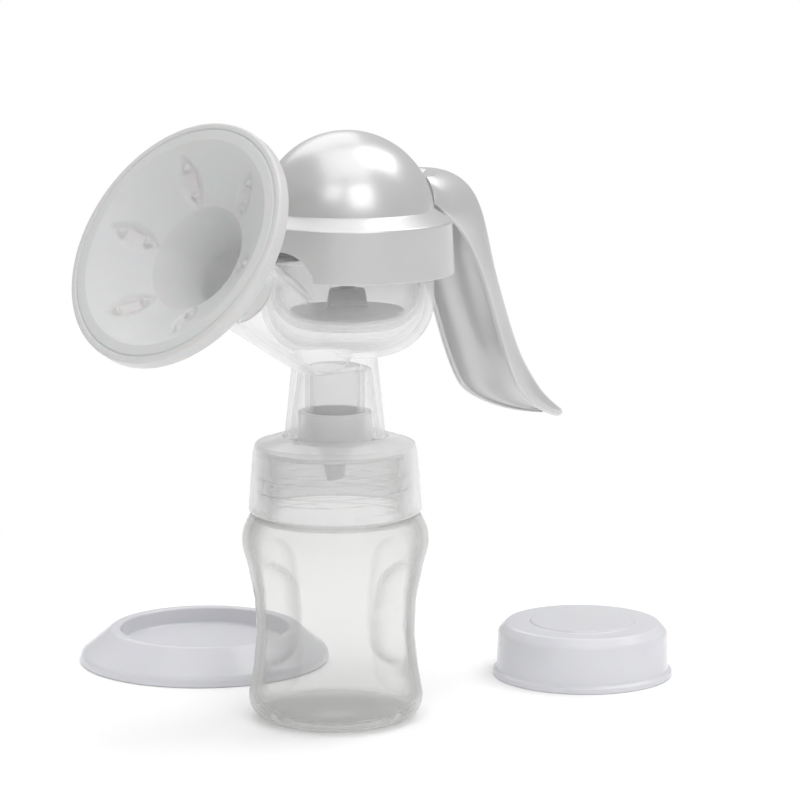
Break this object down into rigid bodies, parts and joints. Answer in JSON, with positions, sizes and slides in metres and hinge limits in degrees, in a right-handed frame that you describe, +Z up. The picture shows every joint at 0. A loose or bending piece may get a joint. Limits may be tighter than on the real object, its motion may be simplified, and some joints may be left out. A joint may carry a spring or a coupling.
{
  "type": "breast pump",
  "caption": "Hand-squeezed breast pump: funnel with soft liner, diaphragm bowl under a domed cover, lever handle, screw ring and waisted bottle, with loose bottle cap and funnel cover",
  "frame": {"origin": "middle of the bottle's foot, on the surface it stands on", "axes": "+Z up along the bottle; the funnel points to -X and the squeeze handle is on +X; XZ is the plane of symmetry of the pump itself"},
  "size_m": [0.2284, 0.1918, 0.2035],
  "materials": {
    "clear_pp": "clear moulded polypropylene",
    "milky_pp": "translucent moulded polypropylene",
    "grey_pp": "translucent grey moulded polypropylene",
    "silicone": "translucent soft silicone, satin",
    "white_silicone": "white soft silicone, satin",
    "stem_pp": "white moulded polypropylene",
    "pearl_abs": "pearl grey moulded ABS, satin",
    "steel": "ground stainless steel pin",
    "white_pp": "white moulded polypropylene, gloss",
    "milk_pp": "milky moulded polypropylene, gloss"
  },
  "bodies": {
    "bottle": {"bottle": "clear_pp", "neck_seal": "silicone"},
    "pump": {"pump_body": "milky_pp"},
    "collar": {"collar": "grey_pp"},
    "cover": {"cover": "pearl_abs", "handle_pin": "steel", "diaphragm": "silicone"},
    "handle": {"handle": "pearl_abs"},
    "stem": {"stem": "stem_pp"},
    "cushion": {"cushion": "silicone"},
    "valve": {"valve": "white_silicone"},
    "bottle_cap": {"bottle_cap": "white_pp"},
    "flange_cover": {"flange_cover": "milk_pp"}
  },
  "joints": [
    {"name": "pump_lift", "type": "slide", "parent": "bottle", "child": "pump", "axis": [0, 0, 1], "range_m": [0, 0.0158]},
    {"name": "collar_turn", "type": "hinge", "parent": "pump", "child": "collar", "pos_m": [0, 0, 0.08], "axis": [0, 0, 1], "range_deg": [0, 1200]},
    {"name": "cover_lift", "type": "slide", "parent": "pump", "child": "cover", "axis": [0, 0, 1], "range_m": [0, 0.04]},
    {"name": "handle_squeeze", "type": "hinge", "parent": "cover", "child": "handle", "pos_m": [0.028, 0, 0.173], "axis": [0, 1, 0], "range_deg": [0, 20], "stiffness_Nm_per_rad": 1.5, "springref_deg": -8.59},
    {"name": "stem_lift", "type": "slide", "parent": "cover", "child": "stem", "axis": [0, 0, 1], "range_m": [0, 0.0078], "deforming": ["diaphragm"]},
    {"name": "cushion_pull", "type": "slide", "parent": "pump", "child": "cushion", "axis": [-0.8572, 0, 0.515], "range_m": [0, 0.05]},
    {"name": "valve_pull", "type": "slide", "parent": "pump", "child": "valve", "axis": [0, 0, -1], "range_m": [0, 0.02]},
    {"name": "bottle_cap_lift", "type": "slide", "parent": "bottle", "child": "bottle_cap", "axis": [0, 0, 1], "range_m": [0, 0.05]},
    {"name": "flange_cover_lift", "type": "slide", "parent": "bottle", "child": "flange_cover", "axis": [0, 0, 1], "range_m": [0, 0.05]}
  ],
  "couplings": [
    {"joint": "pump_lift", "follows": "collar_turn", "m_per_rad": 0.00074803},
    {"joint": "stem_lift", "follows": "handle_squeeze", "m_per_rad": 0.022}
  ]
}
